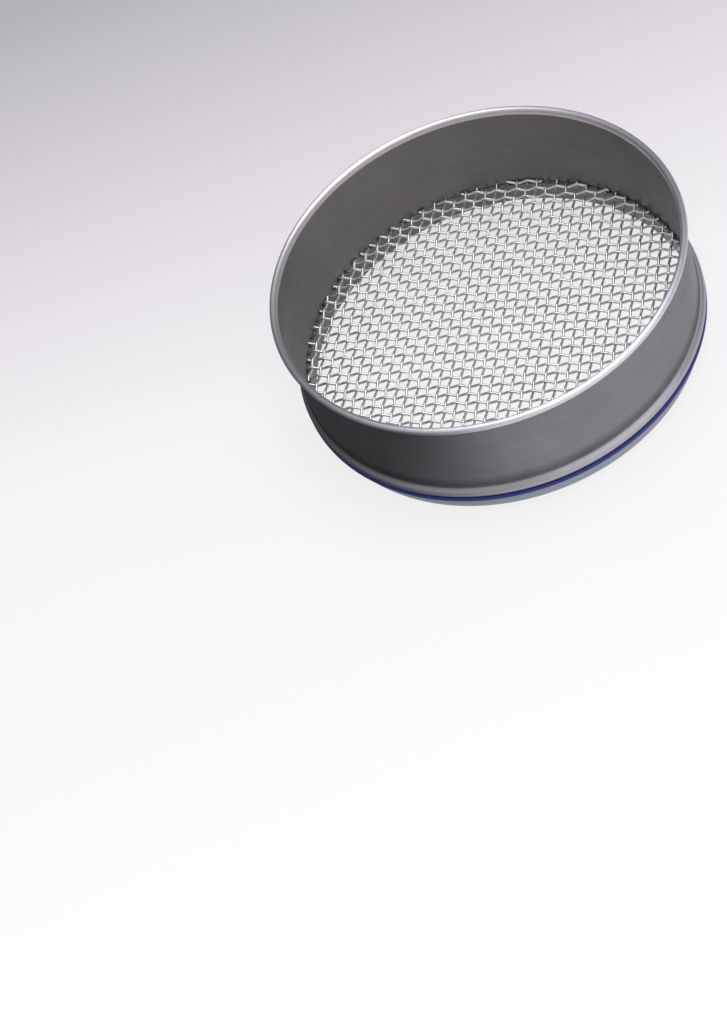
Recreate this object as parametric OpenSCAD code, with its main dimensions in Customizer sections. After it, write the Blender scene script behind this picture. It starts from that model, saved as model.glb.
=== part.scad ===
// Test sieve: a frame with a rolled rim and a shoulder, a plain-woven wire cloth,
// a skirt ring that holds the cloth from below, and a seal ring under the shoulder.
// Lengths are in millimetres. The origin is on the axis at the foot of the skirt, with +Z up.

/* [Frame] */
// Inside diameter of the frame, which takes the skirt of the next sieve
bore_d = 200; // [150:1:250]
// Thickness of the frame's wall
wall_t = 1; // [0.8:0.05:1.5]
// Depth from the top of the rim to the top of the cloth
depth = 50; // [40:1:80]
// Diameter of the rolled rim
bead_d = 3.5; // [3.3:0.1:5]
// Gap between the wall and the rolled edge under the rim
curl_gap = 0.3; // [0.1:0.05:0.4]

/* [Shoulder] */
// How far the shoulder stands out from the wall
shoulder_out = 2.75; // [2.5:0.05:3.4]
// Radius of the shoulder's round edge
shoulder_r = 2.6; // [2:0.1:3]
// Radius of the cove from the wall to the shoulder
cove_r = 5; // [3:0.5:8]

/* [Seal] */
// Diameter of the seal's cord
seal_cord_d = 2.65; // [2.4:0.05:2.7]
// How far the seal hangs below the foot of the frame
seal_proud = 0.4; // [0.2:0.05:0.5]
// Clearance between the seal and the frame
seal_clear = 0.05; // [0.02:0.01:0.1]

/* [Skirt ring] */
// Thickness of the skirt
skirt_t = 1; // [0.8:0.05:1.5]
// Clearance on radius between the skirt and the frame below it
nest_clear = 0.3; // [0.1:0.05:0.6]
// Height of the skirt below its seat
skirt_h = 8.7; // [6:0.1:14]
// Height of the seat that is pressed into the frame
seat_h = 2.5; // [2:0.1:4]
// How far the seat is cut into the frame's wall
seat_cut = 0.55; // [0.3:0.05:0.75]
// How far the seat's foot shows below the frame
seat_show = 0.6; // [0.5:0.05:1]
// Lead-in at the foot of the skirt
lead_in = 0.4; // [0.2:0.05:0.6]

/* [Wire cloth] */
// Width of an aperture between two wires
aperture = 4; // [3.5:0.1:8]
// Diameter of a wire
wire_d = 1.4; // [1.2:0.1:2]
// Clearance round and above the cloth in the frame
cloth_clear = 0.1; // [0.05:0.05:0.15]
// Thickness of the web that joins the wires
web_t = 0.6; // [0.4:0.1:1]
// How many wires lie side by side in a band, and how many apertures make one opening
gap_step = 3; // [3:1:5]
// How far the wires stop short of the cloth's edge
end_back = 0.6; // [0.4:0.1:1]
// Width of the closed edge round the openings, inside the skirt
edge_w = 0.8; // [0.5:0.1:2]

/* [Hidden] */
$fn = 144;

// Radii from the axis
bore_r = bore_d / 2;
wall_r = bore_r + wall_t;
seat_r = bore_r + seat_cut;
skirt_r = bore_r - nest_clear;
skirt_in_r = skirt_r - skirt_t;
cloth_r = seat_r - cloth_clear;

// Heights above the foot of the skirt
cloth_z = skirt_h + seat_h;
cloth_mid_z = cloth_z + wire_d;
cloth_top_z = cloth_z + 2 * wire_d;
step_z = cloth_top_z + cloth_clear;
rim_z = cloth_top_z + depth;
frame_foot_z = skirt_h + seat_show;

// The rolled rim: its centre, and the radius of the hollow inside the roll
bead_r = bead_d / 2;
bead_x = bore_r + bead_r;
bead_z = rim_z - bead_r;
roll_in_r = bead_r - wall_t;

// The seal lies against the frame's foot and under the shoulder
seal_r = seal_cord_d / 2;
seal_x = wall_r + seal_clear + seal_r;
seal_z = frame_foot_z - seal_proud + seal_r;
under_z = seal_z + seal_r + seal_clear;

// The shoulder's round edge and the cove touch on the line between their centres
shoulder_x = wall_r + shoulder_out - shoulder_r;
shoulder_z = under_z + shoulder_r;
cove_x = wall_r + cove_r;
lean = acos((cove_x - shoulder_x) / (shoulder_r + cove_r));
cove_z = shoulder_z + (shoulder_r + cove_r) * sin(lean);
touch = [shoulder_x + shoulder_r * cos(lean), shoulder_z + shoulder_r * sin(lean)];

// The cloth's bands of wires, counted out from the middle one
band_w = gap_step * wire_d;
gap_w = gap_step * aperture;
band_pitch = band_w + gap_w;
wire_end_r = cloth_r - end_back;
bands = floor((wire_end_r - band_w / 2) / band_pitch);
overlap = 0.2;

// Half section of the shoulder, from the middle of the wall outward
module shoulder_section() {
    core_x = bore_r + seat_cut + (wall_t - seat_cut) / 2;
    intersection() {
        translate([shoulder_x, shoulder_z]) circle(r = shoulder_r);
        translate([core_x, under_z]) square([shoulder_x + shoulder_r - core_x, 2 * shoulder_r]);
    }
    difference() {
        polygon([
            [core_x, under_z],
            [shoulder_x, under_z],
            [shoulder_x, shoulder_z],
            touch,
            [cove_x, cove_z],
            [wall_r, cove_z],
            [core_x, cove_z],
        ]);
        translate([cove_x, cove_z]) circle(r = cove_r);
    }
}

// Half section of the rolled rim and the wall under it
module wall_section() {
    difference() {
        union() {
            translate([bore_r, frame_foot_z]) square([wall_t, bead_z - frame_foot_z]);
            translate([bead_x, bead_z]) circle(r = bead_r);
        }
        translate([bead_x, bead_z]) circle(r = roll_in_r);
        translate([wall_r, bead_z - 2 * bead_r]) square([curl_gap, 2 * bead_r]);
    }
}

// Frame in one piece, with a step inside that the cloth lies against
module frame() {
    color("lightgray")
    rotate_extrude()
    difference() {
        union() {
            wall_section();
            shoulder_section();
        }
        translate([0, frame_foot_z - overlap]) square([seat_r, step_z - frame_foot_z + overlap]);
    }
}

// Skirt with its seat, which is pressed into the frame up to the cloth
module skirt_ring() {
    color("silver")
    rotate_extrude()
    polygon([
        [skirt_in_r, 0],
        [skirt_r - lead_in, 0],
        [skirt_r, lead_in],
        [skirt_r, skirt_h],
        [seat_r, skirt_h],
        [seat_r, cloth_z],
        [skirt_in_r, cloth_z],
    ]);
}

// The upper halves of straight wires side by side along X, each with a flat-sided section
module wire_band(length) {
    half = [[-0.5, 0], [0.5, 0], [0.5, 0.6], [0.25, 1], [-0.25, 1], [-0.5, 0.6]];
    rotate([90, 0, 90])
    linear_extrude(height = length, center = true)
    for (i = [0 : gap_step - 1]) translate([(i + 0.5) * wire_d - band_w / 2, 0]) polygon(half * wire_d);
}

// One layer of parallel bands inside the cloth's round edge
module wire_layer() {
    for (i = [-bands : bands]) {
        side = abs(i) * band_pitch + band_w / 2;
        translate([0, i * band_pitch, 0]) wire_band(2 * sqrt(wire_end_r * wire_end_r - side * side));
    }
}

// Wire cloth: warp above, weft below, and a web along the bands with openings between them
module wire_cloth() {
    color("whitesmoke")
    translate([0, 0, cloth_mid_z]) {
        wire_layer();
        rotate([0, 0, 90]) mirror([0, 0, 1]) wire_layer();
        linear_extrude(height = web_t, center = true)
        difference() {
            circle(r = cloth_r);
            intersection() {
                circle(r = skirt_in_r - edge_w);
                for (i = [-bands : bands - 1], j = [-bands : bands - 1]) {
                    x = (i + 0.5) * band_pitch;
                    y = (j + 0.5) * band_pitch;
                    if (norm([x, y]) < cloth_r) translate([x, y]) square(gap_w, center = true);
                }
            }
        }
    }
}

// Seal ring, a round cord under the shoulder
module seal_ring() {
    color("mediumblue")
    rotate_extrude()
    translate([seal_x, seal_z]) circle(r = seal_r);
}

frame();
skirt_ring();
wire_cloth();
seal_ring();
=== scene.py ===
import math

import bmesh
import bpy
from mathutils import Matrix, Vector


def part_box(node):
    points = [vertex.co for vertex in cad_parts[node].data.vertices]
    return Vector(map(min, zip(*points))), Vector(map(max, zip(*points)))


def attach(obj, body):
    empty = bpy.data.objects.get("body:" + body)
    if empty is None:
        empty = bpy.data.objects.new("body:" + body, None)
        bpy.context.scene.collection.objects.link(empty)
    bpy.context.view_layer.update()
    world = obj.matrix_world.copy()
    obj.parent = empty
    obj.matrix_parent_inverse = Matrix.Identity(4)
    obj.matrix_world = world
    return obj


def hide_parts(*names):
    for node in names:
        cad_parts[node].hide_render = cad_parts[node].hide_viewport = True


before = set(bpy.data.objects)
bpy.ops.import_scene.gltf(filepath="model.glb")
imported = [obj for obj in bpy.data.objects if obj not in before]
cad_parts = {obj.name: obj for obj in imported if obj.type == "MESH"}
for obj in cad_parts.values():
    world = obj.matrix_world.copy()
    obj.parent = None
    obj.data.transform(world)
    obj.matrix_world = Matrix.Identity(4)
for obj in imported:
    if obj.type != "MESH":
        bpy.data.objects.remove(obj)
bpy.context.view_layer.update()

# Lengths are in metres. Radii are from the sieve's axis, and heights from the foot of the skirt.
MM = 0.001
frame_low, frame_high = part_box("frame")
cloth_low, cloth_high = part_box("wire_cloth")
seal_low, seal_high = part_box("seal_ring")

# Walls of the shell and of the skirt ring, whose seat is let into the shell
BORE_R = 100 * MM
WALL_T = 1 * MM
WALL_R = BORE_R + WALL_T
SEAT_R = BORE_R + 0.55 * MM
SKIRT_R = BORE_R - 0.3 * MM
SKIRT_IN_R = SKIRT_R - 1 * MM
SKIRT_H = 8.7 * MM
LEAD_IN = 0.4 * MM

# Heights of the rim, the shell's foot, the cloth, and the step that the cloth lies against
RIM_Z = frame_high[2]
FOOT_Z = frame_low[2]
CLOTH_Z = cloth_low[2]
CLOTH_MID_Z = (cloth_low[2] + cloth_high[2]) / 2
STEP_Z = cloth_high[2] + 0.1 * MM

# Rolled rim, the hollow inside the roll, and the gap between the rolled edge and the wall
BEAD_R = 1.75 * MM
ROLL_IN_R = BEAD_R - WALL_T
CURL_GAP = 0.3 * MM
BEAD_X = BORE_R + BEAD_R
BEAD_Z = RIM_Z - BEAD_R

# The shoulder's round edge and the cove above it touch on the line between their centres
SHOULDER_R = 2.6 * MM
COVE_R = 5 * MM
UNDER_Z = 11.6 * MM
SHOULDER_X = min(frame_high[0], frame_high[1]) - SHOULDER_R
SHOULDER_Z = UNDER_Z + SHOULDER_R
COVE_X = WALL_R + COVE_R
LEAN = math.acos((COVE_X - SHOULDER_X) / (SHOULDER_R + COVE_R))
COVE_Z = SHOULDER_Z + (SHOULDER_R + COVE_R) * math.sin(LEAN)

# Seal cord
SEAL_R = (seal_high[2] - seal_low[2]) / 2
SEAL_X = min(seal_high[0], seal_high[1]) - SEAL_R
SEAL_Z = (seal_high[2] + seal_low[2]) / 2

# Wire cloth. Its middle crossing lies a little off the axis, as the cloth happened to be cut.
WIRE_D = 1.4 * MM
PITCH = 5.4 * MM
WIRES_EACH_SIDE = 18
WIRE_END_R = 100.35 * MM
CROSSING_X = 1.45 * MM
CROSSING_Y = 2.0 * MM

# Turned rings: how many steps go round, and how far a sharp corner is eased
STEPS_ROUND = 288
EASE_R = 0.12 * MM


# ---------------------------------------------------------------- camera

def add_camera():
    """Looks down from the front right, rolled so that the upright sieve stands at a slant."""
    azimuth = math.radians(30.77)
    elevation = math.radians(50.06)
    roll = math.radians(26.15)
    distance = 1.11726
    target = Vector((-0.05691, -0.10106, 0))
    toward = Vector((
        math.sin(azimuth) * math.cos(elevation),
        -math.cos(azimuth) * math.cos(elevation),
        math.sin(elevation),
    ))
    level_right = Vector((0, 0, 1)).cross(toward).normalized()
    level_up = toward.cross(level_right)
    right = level_right * math.cos(roll) - level_up * math.sin(roll)
    up = level_up * math.cos(roll) + level_right * math.sin(roll)
    turn = Matrix((right, up, toward)).transposed()
    data = bpy.data.cameras.new("camera")
    data.sensor_fit = "VERTICAL"
    data.sensor_height = 36
    data.lens = 80.86
    data.clip_start = 0.01
    data.clip_end = 20
    camera = bpy.data.objects.new("camera", data)
    camera.matrix_world = Matrix.Translation(target + toward * distance) @ turn.to_4x4()
    bpy.context.scene.collection.objects.link(camera)
    bpy.context.scene.camera = camera


# ---------------------------------------------------------------- nodes and their maths

class Num:
    """A socket in a node tree. A sum written on it becomes Math nodes."""

    def __init__(self, nodes, socket):
        self.nodes = nodes
        self.socket = socket

    def __add__(self, other):
        return self.nodes.math("ADD", self, other)

    def __radd__(self, other):
        return self.nodes.math("ADD", other, self)

    def __sub__(self, other):
        return self.nodes.math("SUBTRACT", self, other)

    def __rsub__(self, other):
        return self.nodes.math("SUBTRACT", other, self)

    def __mul__(self, other):
        return self.nodes.math("MULTIPLY", self, other)

    def __rmul__(self, other):
        return self.nodes.math("MULTIPLY", other, self)

    def __truediv__(self, other):
        return self.nodes.math("DIVIDE", self, other)

    def __rtruediv__(self, other):
        return self.nodes.math("DIVIDE", other, self)


class Nodes:
    """The tree of a material, the world or a geometry modifier, and the making of its nodes."""

    def __init__(self, tree):
        self.tree = tree
        tree.nodes.clear()

    def node(self, kind, settings=None, sockets=None, out=0):
        """One output of a new node, whose settings are set before its sockets."""
        made = self.tree.nodes.new(kind)
        for name, value in (settings or {}).items():
            if name == "stops":
                self.set_stops(made.color_ramp, value)
            else:
                setattr(made, name, value)
        for name, value in (sockets or {}).items():
            socket = made.inputs[name]
            if isinstance(value, Num):
                self.tree.links.new(value.socket, socket)
            else:
                socket.default_value = value
        return Num(self, made.outputs[out]) if made.outputs else made

    def set_stops(self, ramp, stops):
        while len(ramp.elements) < len(stops):
            ramp.elements.new(0.5)
        for element, (place, colour) in zip(ramp.elements, stops):
            element.position = place
            element.color = colour

    def outputs(self, kind, sockets=None):
        """Every output of a new node, by name."""
        made = self.node(kind, None, sockets).socket.node
        return {socket.name: Num(self, socket) for socket in made.outputs}

    def math(self, operation, *values):
        return self.node("ShaderNodeMath", {"operation": operation}, dict(enumerate(values)))

    def vector(self, x, y, z):
        return self.node("ShaderNodeCombineXYZ", None, {0: x, 1: y, 2: z})

    def parts(self, vector):
        """The x, y and z of a vector."""
        return self.outputs("ShaderNodeSeparateXYZ", {0: vector}).values()

    def place(self):
        """Object coordinates as x, y, z and the distance from the axis."""
        x, y, z = self.parts(self.node("ShaderNodeTexCoord", out="Object"))
        return x, y, z, self.math("SQRT", x * x + y * y)

    def step(self, value, low, high):
        """0 below low, 1 above high, smooth between."""
        settings = {"interpolation_type": "SMOOTHSTEP"}
        return self.node("ShaderNodeMapRange", settings, {0: value, 1: low, 2: high})

    def noise(self, vector, scale, detail, roughness):
        sockets = {"Vector": vector, "Scale": scale, "Detail": detail, "Roughness": roughness}
        return self.node("ShaderNodeTexNoise", None, sockets, "Fac")

    def brush_lines(self, place, along, across, detail, roughness):
        """Noise drawn out round the axis, and fine up, down and outward."""
        x, y, z, radius = place
        return self.noise(self.vector(x * along, y * along, (z + radius) * across), 1.0, detail, roughness)

    def mix(self, factor, first, second):
        return self.node("ShaderNodeMix", {"data_type": "RGBA"}, {0: factor, 6: first, 7: second}, 2)

    def ramp(self, value, stops):
        return self.node("ShaderNodeValToRGB", {"stops": stops}, {0: value})

    def grey(self, value, tint=(1, 1, 1)):
        """A number as a grey, with a slight tint."""
        plain = self.node("ShaderNodeCombineColor", None, {0: value, 1: value, 2: value})
        settings = {"data_type": "RGBA", "blend_type": "MULTIPLY"}
        return self.node("ShaderNodeMix", settings, {0: 1.0, 6: plain, 7: (*tint, 1)}, 2)

    def bump(self, height, distance, strength):
        sockets = {"Height": height, "Distance": distance, "Strength": strength}
        return self.node("ShaderNodeBump", None, sockets)

    def surface(self, shader):
        self.node("ShaderNodeOutputMaterial", None, {"Surface": shader})


def spread(noise, amount):
    """Noise from 0 to 1 as a swing to both sides of 0, this wide in all."""
    return (noise - 0.5) * amount


def new_material(name):
    """An empty material and the making of its nodes."""
    material = bpy.data.materials.new(name)
    material.use_nodes = True
    return material, Nodes(material.node_tree)


def steel(f, colour, rough, normal, brushed):
    """Bare metal, where brush lines round the axis spread the highlights up and down."""
    shader = f.node("ShaderNodeBsdfPrincipled", None, {
        "Base Color": colour,
        "Metallic": 1.0,
        "Roughness": rough,
        "Anisotropic": brushed,
        "Anisotropic Rotation": 0.25,
        "Normal": normal,
    })
    f.surface(shader)


# ---------------------------------------------------------------- finishes

def brushed_shell():
    """Brushed sheet steel, polished on the rolled rim and the shoulder's round edge, which are painted
    lighter as painted sheen, with painted shade under the shoulder, in the cove and on the inside.
    """
    material, f = new_material("brushed_shell_steel")
    place = f.place()
    x, y, z, radius = place
    fine = f.brush_lines(place, 9, 5200, 3.0, 0.6)
    broad = f.brush_lines(place, 4, 900, 2.0, 0.5)
    cloud = f.noise(f.vector(x, y, z), 22.0, 3.0, 0.6)
    smudge_and_shade = f.noise(f.vector(x, y, z * 2), 55.0, 4.0, 0.65)
    # The rolled rim is satin, and its colour is painted brighter as a painted highlight.
    rim_foot = RIM_Z - 2 * BEAD_R
    rim = f.step(z, rim_foot - 0.1 * MM, rim_foot + 0.2 * MM)
    rim = rim * f.step(radius, BORE_R - 1 * MM, BORE_R + 0.1 * MM)
    # The shoulder's round edge is polished up into the cove and painted lighter there as painted sheen;
    # its underside is painted darker as painted shade.
    polish_top = COVE_Z - 2.5 * MM
    edge = f.step(radius, WALL_R + 0.1 * MM, WALL_R + 0.5 * MM)
    edge = edge * (1 - f.step(z, polish_top - 0.3 * MM, polish_top + 0.3 * MM))
    under = edge * (1 - f.step(z, SHOULDER_Z - 0.9 * MM, SHOULDER_Z + 0.1 * MM))
    # Painted shade: a darker, patchy band where the wall meets the shoulder.
    cove = f.step(z, COVE_Z - 2.6 * MM, COVE_Z - 1.6 * MM)
    cove = cove * (1 - f.step(z, COVE_Z - 1 * MM, COVE_Z + 5 * MM))
    cove = cove * f.step(radius, BORE_R + 0.6 * MM, BORE_R + 0.9 * MM)
    # The inside is a little warmer than the outside, and painted a little darker as painted shade.
    outer = f.step(radius, BORE_R + 0.3 * MM, BORE_R + 0.8 * MM)
    # Painted light in the tone: sheen on the rim and the shoulder's edge, shade under the shoulder, in the
    # cove and on the inside.
    tone = 0.22 + outer * 0.05 + spread(fine, 0.06) + spread(broad, 0.06) + spread(cloud, 0.10)
    tone = tone + rim * 0.46 + edge * 0.22 - under * 0.34 - cove * (0.07 + smudge_and_shade * 0.07)
    inside_colour = f.grey(tone, (1.03, 0.975, 0.985))
    outside_colour = f.grey(tone, (0.99, 0.98, 1.05))
    colour = f.mix(outer, inside_colour, outside_colour)
    rough = 0.50 + spread(smudge_and_shade, 0.18) + spread(fine, 0.08) - (rim + edge) * 0.11
    normal = f.bump(fine * 0.7 + broad * 0.3, 0.015 * MM, 0.35)
    steel(f, colour, rough, normal, 0.8)
    return material


def satin_skirt():
    """Satin steel of the skirt ring, bluer and softer than the shell."""
    material, f = new_material("satin_skirt_steel")
    place = f.place()
    x, y, z, radius = place
    fine = f.brush_lines(place, 9, 4200, 3.0, 0.6)
    cloud = f.noise(f.vector(x, y, z), 30.0, 3.0, 0.6)
    # The inside is painted darker, as painted shade inside the ring.
    outer = f.step(radius, SKIRT_IN_R + 0.1 * MM, SKIRT_IN_R + 0.5 * MM)
    tone = 0.14 + outer * 0.26 + spread(fine, 0.08) + spread(cloud, 0.08)
    colour = f.mix(outer, f.grey(tone), f.grey(tone, (0.84, 0.92, 1.08)))
    rough = 0.42 + spread(cloud, 0.2) + spread(fine, 0.1)
    normal = f.bump(fine, 0.02 * MM, 0.4)
    steel(f, colour, rough, normal, 0.6)
    return material


def drawn_wire():
    """Bright drawn steel wire, each wire with its own tone and faint draw lines."""
    material, f = new_material("drawn_wire_steel")
    tone = f.node("ShaderNodeAttribute", {"attribute_name": "wire_tone"}, None, "Fac")
    run = f.node("ShaderNodeAttribute", {"attribute_name": "wire_run"}, None, "Vector")
    along, across, height = f.parts(run)
    lines = f.noise(f.vector(along * 60, across * 5200, height * 5200), 1.0, 3.0, 0.6)
    cloud = f.noise(run, 60.0, 3.0, 0.6)
    value = 0.64 + spread(tone, 0.12) + spread(lines, 0.12) + spread(cloud, 0.10)
    rough = 0.40 + spread(cloud, 0.16) + spread(lines, 0.1)
    steel(f, f.grey(value, (1.0, 0.99, 0.985)), rough, f.bump(lines, 0.01 * MM, 0.4), 0.0)
    return material


def blue_rubber():
    """Smooth blue seal rubber with a faint moulded grain and dust."""
    material, f = new_material("blue_seal_rubber")
    x, y, z, _ = f.place()
    grain = f.noise(f.vector(x, y, z), 2600.0, 2.0, 0.5)
    dust = f.noise(f.vector(x, y, z * 3), 90.0, 4.0, 0.7)
    pale = f.step(dust, 0.55, 0.8) * 0.12
    shader = f.node("ShaderNodeBsdfPrincipled", None, {
        "Base Color": f.mix(pale, (0.015, 0.029, 0.22, 1), (0.15, 0.18, 0.38, 1)),
        "Roughness": 0.42 + spread(dust, 0.25),
        "Normal": f.bump(grain, 0.01 * MM, 0.35),
    })
    f.surface(shader)
    return material


# ---------------------------------------------------------------- turned pieces

def arc(centre_r, centre_z, radius, first, last, count):
    """Points on an arc, from one angle in degrees to another, both ends included."""
    points = []
    for i in range(count + 1):
        angle = math.radians(first + (last - first) * i / count)
        points.append((centre_r + radius * math.cos(angle), centre_z + radius * math.sin(angle)))
    return points


def eased(outline):
    """The same closed outline, with a small round on each corner that isn't nearly straight."""
    points = []
    for i, corner in enumerate(outline):
        here = Vector(corner)
        before = Vector(outline[i - 1]) - here
        after = Vector(outline[(i + 1) % len(outline)]) - here
        if before.angle(after) > math.radians(150):
            points.append(corner)
            continue
        cut = min(EASE_R, before.length * 0.4, after.length * 0.4)
        start = here + before.normalized() * cut
        end = here + after.normalized() * cut
        for share in (0, 0.33, 0.67, 1):
            entry = start.lerp(here, share)
            leaving = here.lerp(end, share)
            points.append(tuple(entry.lerp(leaving, share)))
    return points


def turned(name, outline, material, node, sharp=40):
    """A closed ring, its section given as a closed outline of (radius, height)."""
    shape = bmesh.new()
    rings = []
    for step in range(STEPS_ROUND):
        angle = 2 * math.pi * step / STEPS_ROUND
        c = math.cos(angle)
        s = math.sin(angle)
        rings.append([shape.verts.new((r * c, r * s, z)) for r, z in outline])
    for step, here in enumerate(rings):
        there = rings[(step + 1) % STEPS_ROUND]
        for i in range(len(outline)):
            j = (i + 1) % len(outline)
            shape.faces.new((here[i], here[j], there[j], there[i]))
    bmesh.ops.recalc_face_normals(shape, faces=shape.faces)
    for face in shape.faces:
        face.smooth = True
    mesh = bpy.data.meshes.new(name)
    shape.to_mesh(mesh)
    shape.free()
    mesh.set_sharp_from_angle(angle=math.radians(sharp))
    mesh.materials.append(material)
    piece = bpy.data.objects.new(name, mesh)
    bpy.context.scene.collection.objects.link(piece)
    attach(piece, "root")
    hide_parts(node)


def add_shell():
    """The spun shell: up the inside, over the rolled rim, and down the outside to the foot."""
    lean = math.degrees(LEAN)
    roll_x = WALL_R + CURL_GAP - BEAD_X
    roll_end = math.degrees(math.acos(roll_x / BEAD_R))
    hollow_end = math.degrees(math.acos(roll_x / ROLL_IN_R))
    # Points between the ends of the straight walls keep their faces from being long and thin.
    inside = [(BORE_R, STEP_Z + rise * MM) for rise in (0, 18, 36)]
    rim = arc(BEAD_X, BEAD_Z, BEAD_R, 180, -roll_end, 26)
    hollow = arc(BEAD_X, BEAD_Z, ROLL_IN_R, -hollow_end, 180, 14)
    outside = [(WALL_R, COVE_Z + rise * MM) for rise in (28, 14)]
    # The cove's last point is the shoulder's first.
    cove = arc(COVE_X, COVE_Z, COVE_R, 180, 180 + lean, 10)[:-1]
    shoulder = arc(SHOULDER_X, SHOULDER_Z, SHOULDER_R, lean, -90, 18)
    foot = eased([
        (WALL_R, UNDER_Z),
        (WALL_R, FOOT_Z),
        (SEAT_R, FOOT_Z),
        (SEAT_R, STEP_Z),
    ])
    outline = inside + rim + hollow + outside + cove + shoulder + foot
    turned("shell", outline, brushed_shell(), "frame")


def add_skirt():
    """The skirt ring, with its seat at the top and a lead-in at its foot."""
    outline = eased([
        (SKIRT_IN_R, 0),
        (SKIRT_R - LEAD_IN, 0),
        (SKIRT_R, LEAD_IN),
        (SKIRT_R, SKIRT_H),
        (SEAT_R, SKIRT_H),
        (SEAT_R, CLOTH_Z),
        (SKIRT_IN_R, CLOTH_Z),
    ])
    turned("skirt", outline, satin_skirt(), "skirt_ring")


def add_seal():
    """The seal's round cord, with a faint mould line at its widest."""
    outline = arc(SEAL_X, SEAL_Z, SEAL_R, 2, 358, 30)
    outline.append((SEAL_X + SEAL_R + 0.03 * MM, SEAL_Z))
    turned("seal", outline, blue_rubber(), "seal_ring", sharp=80)


# ---------------------------------------------------------------- woven wire cloth

def weave_inputs(tree):
    """The tree's inputs, as each one's identifier by its name."""
    inputs = [
        ("Wires each side", "Int", WIRES_EACH_SIDE),
        ("Pitch", "Float", PITCH),
        ("Wire diameter", "Float", WIRE_D),
        ("End radius", "Float", WIRE_END_R),
        ("Crossing along", "Float", 0.0),
        ("Crossing across", "Float", 0.0),
        ("Height", "Float", CLOTH_MID_Z),
        ("Side", "Float", 1.0),
        ("Turn", "Float", 0.0),
        ("Points per pitch", "Int", 6),
        ("Facets", "Int", 10),
        ("Seed", "Int", 1),
        ("Material", "Material", None),
    ]
    ids = {}
    for name, kind, value in inputs:
        socket = tree.interface.new_socket(name, in_out="INPUT", socket_type="NodeSocket" + kind)
        if value is not None:
            socket.default_value = value
        ids[name] = socket.identifier
    tree.interface.new_socket("Geometry", in_out="OUTPUT", socket_type="NodeSocketGeometry")
    return ids


def straight_rows(w, given, step):
    """Rows of points along X, one row for each wire, all as long as the middle wire."""
    reach = w.math("CEIL", given["End radius"] / step)
    run = w.node("GeometryNodeMeshLine", {"mode": "OFFSET"}, {
        "Count": reach * 2.0 + 1.0,
        "Start Location": w.vector(reach * step * -1.0, 0.0, 0.0),
        "Offset": w.vector(step, 0.0, 0.0),
    })
    wires = given["Wires each side"]
    pitch = given["Pitch"]
    places = w.node("GeometryNodeMeshLine", {"mode": "OFFSET"}, {
        "Count": wires * 2.0 + 1.0,
        "Start Location": w.vector(0.0, given["Crossing across"] - wires * pitch, 0.0),
        "Offset": w.vector(0.0, pitch, 0.0),
    })
    copies = w.node("GeometryNodeInstanceOnPoints", None, {"Points": places, "Instance": run})
    return w.node("GeometryNodeRealizeInstances", None, {"Geometry": copies})


def waved_rows(w, given, rows, step):
    """The rows cut to the cloth's round edge, and waved over and under the wires that cross them."""
    wire_d = given["Wire diameter"]
    end_r = given["End radius"]
    x, y, _ = w.parts(w.node("GeometryNodeInputPosition"))
    side = w.math("ABSOLUTE", y) + wire_d / 2.0
    half = w.math("SQRT", end_r * end_r - side * side)
    # A point up to a step past the edge is kept, and brought back to the edge.
    beyond = w.math("ABSOLUTE", x) - (half + step * 0.98)
    cut = w.node("GeometryNodeDeleteGeometry", {"domain": "POINT"}, {
        "Geometry": rows,
        "Selection": w.math("GREATER_THAN", beyond, 0.0),
    })
    clipped = w.math("MINIMUM", w.math("MAXIMUM", x, half * -1.0), half)
    # Over one crossing wire and under the next, and the other way on the next row.
    from_crossing = x + y - (given["Crossing along"] + given["Crossing across"])
    wave = w.math("COSINE", from_crossing / given["Pitch"] * math.pi)
    return w.node("GeometryNodeSetPosition", None, {
        "Geometry": cut,
        "Position": w.vector(clipped, y, wave * (wire_d / 2.0 * given["Side"])),
    })


def round_wires(w, given, rows):
    """The rows as round wires, each with its place in the weave and a tone of its own."""
    ring = w.node("GeometryNodeCurvePrimitiveCircle", {"mode": "RADIUS"}, {
        "Resolution": given["Facets"],
        "Radius": given["Wire diameter"] / 2.0,
    })
    tubes = w.node("GeometryNodeCurveToMesh", None, {
        "Curve": w.node("GeometryNodeMeshToCurve", None, {"Mesh": rows}),
        "Profile Curve": ring,
        "Fill Caps": True,
    })
    here = w.node("GeometryNodeInputPosition")
    _, y, _ = w.parts(here)
    noted = w.node("GeometryNodeStoreNamedAttribute", {"data_type": "FLOAT_VECTOR", "domain": "POINT"}, {
        "Geometry": w.node("GeometryNodeSetShadeSmooth", None, {"Geometry": tubes}),
        "Name": "wire_run",
        "Value": here,
    })
    # Each wire's number, moved well above 0, picks its tone.
    row = w.math("ROUND", (y - given["Crossing across"]) / given["Pitch"])
    tone = w.node("FunctionNodeRandomValue", {"data_type": "FLOAT"}, {
        "ID": row + 500.0,
        "Seed": given["Seed"],
    }, 1)
    return w.node("GeometryNodeStoreNamedAttribute", {"data_type": "FLOAT", "domain": "POINT"}, {
        "Geometry": noted,
        "Name": "wire_tone",
        "Value": tone,
    })


def weave_tree():
    """A geometry tree that makes one set of parallel wires of a plain weave."""
    tree = bpy.data.node_groups.new("woven_wires", "GeometryNodeTree")
    w = Nodes(tree)
    ids = weave_inputs(tree)
    given = w.outputs("NodeGroupInput")
    step = given["Pitch"] / given["Points per pitch"]
    rows = waved_rows(w, given, straight_rows(w, given, step), step)
    placed = w.node("GeometryNodeTransform", None, {
        "Geometry": round_wires(w, given, rows),
        "Translation": w.vector(0.0, 0.0, given["Height"]),
        "Rotation": w.vector(0.0, 0.0, given["Turn"]),
    })
    whole = w.node("GeometryNodeRealizeInstances", None, {"Geometry": placed})
    finished = w.node("GeometryNodeSetMaterial", None, {"Geometry": whole, "Material": given["Material"]})
    w.node("NodeGroupOutput", None, {"Geometry": finished})
    return tree, ids


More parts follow.
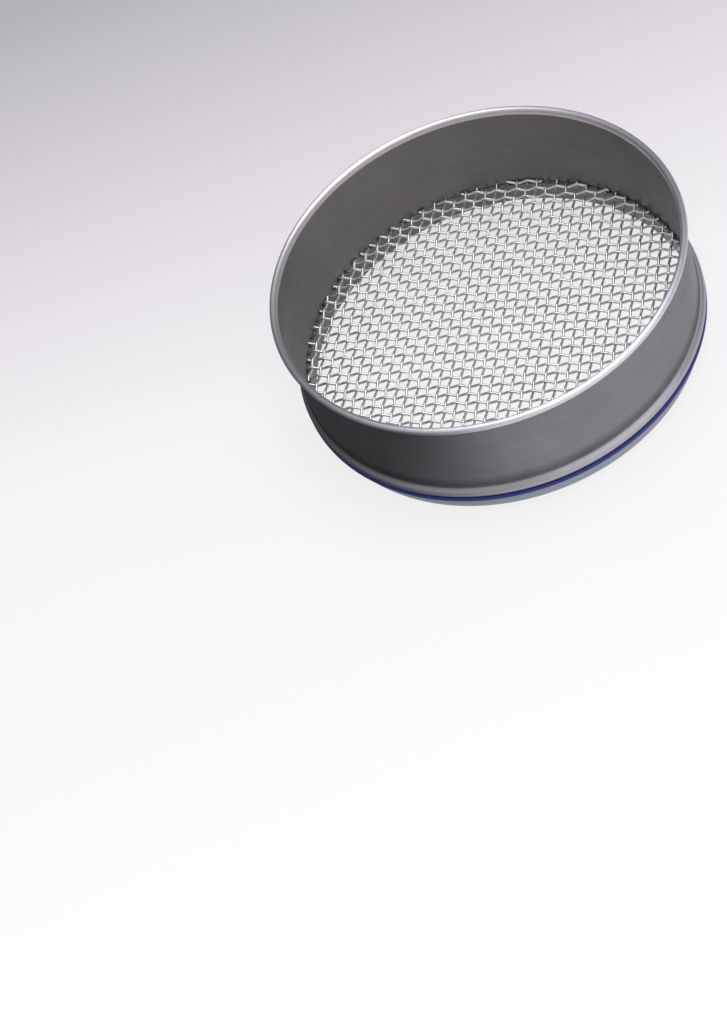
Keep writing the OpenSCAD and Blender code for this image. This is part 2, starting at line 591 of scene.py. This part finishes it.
def add_wires(name, tree, ids, inputs):
    """One set of wires, made by the tree with these inputs and kept as a plain mesh."""
    empty = bpy.data.meshes.new(name + "_maker")
    maker = bpy.data.objects.new(name + "_maker", empty)
    bpy.context.scene.collection.objects.link(maker)
    modifier = maker.modifiers.new("weave", "NODES")
    modifier.node_group = tree
    for label, value in inputs.items():
        modifier[ids[label]] = value
    bpy.context.view_layer.update()
    graph = bpy.context.evaluated_depsgraph_get()
    mesh = bpy.data.meshes.new_from_object(maker.evaluated_get(graph))
    mesh.name = name
    bpy.data.objects.remove(maker)
    bpy.data.meshes.remove(empty)
    piece = bpy.data.objects.new(name, mesh)
    bpy.context.scene.collection.objects.link(piece)
    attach(piece, "root")
    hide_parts("wire_cloth")


def add_cloth():
    """Warp along X and weft along Y, which goes under where the warp goes over."""
    material = drawn_wire()
    tree, ids = weave_tree()
    add_wires("warp_wires", tree, ids, {
        "Side": 1.0,
        "Turn": 0.0,
        "Crossing along": CROSSING_X,
        "Crossing across": CROSSING_Y,
        "Seed": 3,
        "Material": material,
    })
    add_wires("weft_wires", tree, ids, {
        "Side": -1.0,
        "Turn": math.pi / 2,
        "Crossing along": CROSSING_Y,
        "Crossing across": -CROSSING_X,
        "Seed": 8,
        "Material": material,
    })


# ---------------------------------------------------------------- floor and light

def pale_floor():
    """White in front, and painted greyer and slightly lilac far away as a painted falloff of light, and
    shown to the camera as its own colour.
    """
    material, f = new_material("pale_floor")
    x, y, _, radius = f.place()
    # Painted falloff of light: the floor's colour darkens from white towards the back and the left.
    depth = (y - x * 0.35 + 0.35) / 1.1
    colour = f.ramp(depth, [
        (0.0, (1.0, 1.0, 1.0, 1)),
        (0.32, (0.925, 0.92, 0.93, 1)),
        (0.45, (0.78, 0.745, 0.79, 1)),
        (0.69, (0.47, 0.455, 0.485, 1)),
        (1.0, (0.33, 0.32, 0.34, 1)),
    ])
    # Painted reflection: to glossy rays the floor left of the sieve, outside its foot, is nearly black, so
    # steel facing the near left mirrors dark.
    dark_reflection_near_left = (1 - f.step(x, -0.08, 0.07)) * f.step(radius, 0.097, 0.107)
    mirrored = f.mix(dark_reflection_near_left, colour, (0.02, 0.02, 0.022, 1))
    paths = f.outputs("ShaderNodeLightPath")
    glossy = paths["Is Glossy Ray"]
    seen = paths["Is Camera Ray"] + paths["Is Transmission Ray"]
    # The matt share keeps the sieve's shadow.
    share = f.math("MINIMUM", seen * 0.86 + glossy * 0.95, 0.95)
    matt = f.node("ShaderNodeBsdfDiffuse", None, {"Color": colour})
    glow = f.node("ShaderNodeEmission", None, {"Color": f.mix(glossy, colour, mirrored), "Strength": 1.0})
    f.surface(f.node("ShaderNodeMixShader", None, {0: share, 1: matt, 2: glow}))
    return material


def add_floor():
    """A wide floor that the sieve stands on."""
    reach = 12.0
    corners = [(-reach, -reach, 0), (reach, -reach, 0), (reach, reach, 0), (-reach, reach, 0)]
    mesh = bpy.data.meshes.new("floor")
    mesh.from_pydata(corners, [], [(0, 1, 2, 3)])
    mesh.materials.append(pale_floor())
    floor = bpy.data.objects.new("floor", mesh)
    bpy.context.scene.collection.objects.link(floor)


def add_lamp(name, place, aim, size, watts):
    """A soft lamp, as a rectangle that faces the aim."""
    data = bpy.data.lights.new(name, "AREA")
    data.shape = "RECTANGLE"
    data.size = size[0]
    data.size_y = size[1]
    data.energy = watts
    lamp = bpy.data.objects.new(name, data)
    lamp.location = place
    lamp.rotation_euler = (Vector(place) - Vector(aim)).to_track_quat("Z", "Y").to_euler()
    bpy.context.scene.collection.objects.link(lamp)


def add_light():
    """A soft studio, lit from overhead and from the front right, and darker low down elsewhere."""
    world = bpy.data.worlds.new("studio")
    bpy.context.scene.world = world
    world.use_nodes = True
    f = Nodes(world.node_tree)
    right, back, up = f.parts(f.node("ShaderNodeTexCoord", out="Generated"))
    bright = f.mix(f.step(up, 0.0, 0.9), (0.36, 0.36, 0.38, 1), (0.70, 0.70, 0.72, 1))
    lit = f.math("MAXIMUM", f.step((right - back) * 0.7, -0.8, 0.45), f.step(up, 0.6, 0.95))
    colour = f.mix(lit, (0.13, 0.13, 0.14, 1), bright)
    background = f.node("ShaderNodeBackground", None, {"Color": colour, "Strength": 1.0})
    f.node("ShaderNodeOutputWorld", None, {"Surface": background})
    add_lamp("overhead", (0.2, 0.3, 1.6), (0, 0, 0), (1.4, 1.0), 16)
    add_lamp("front_right", (1.3, -0.7, 0.9), (0, 0, 0.03), (2.2, 1.8), 4)


bpy.context.scene.view_settings.view_transform = "Standard"
add_camera()
add_shell()
add_skirt()
add_seal()
add_cloth()
add_floor()
add_light()
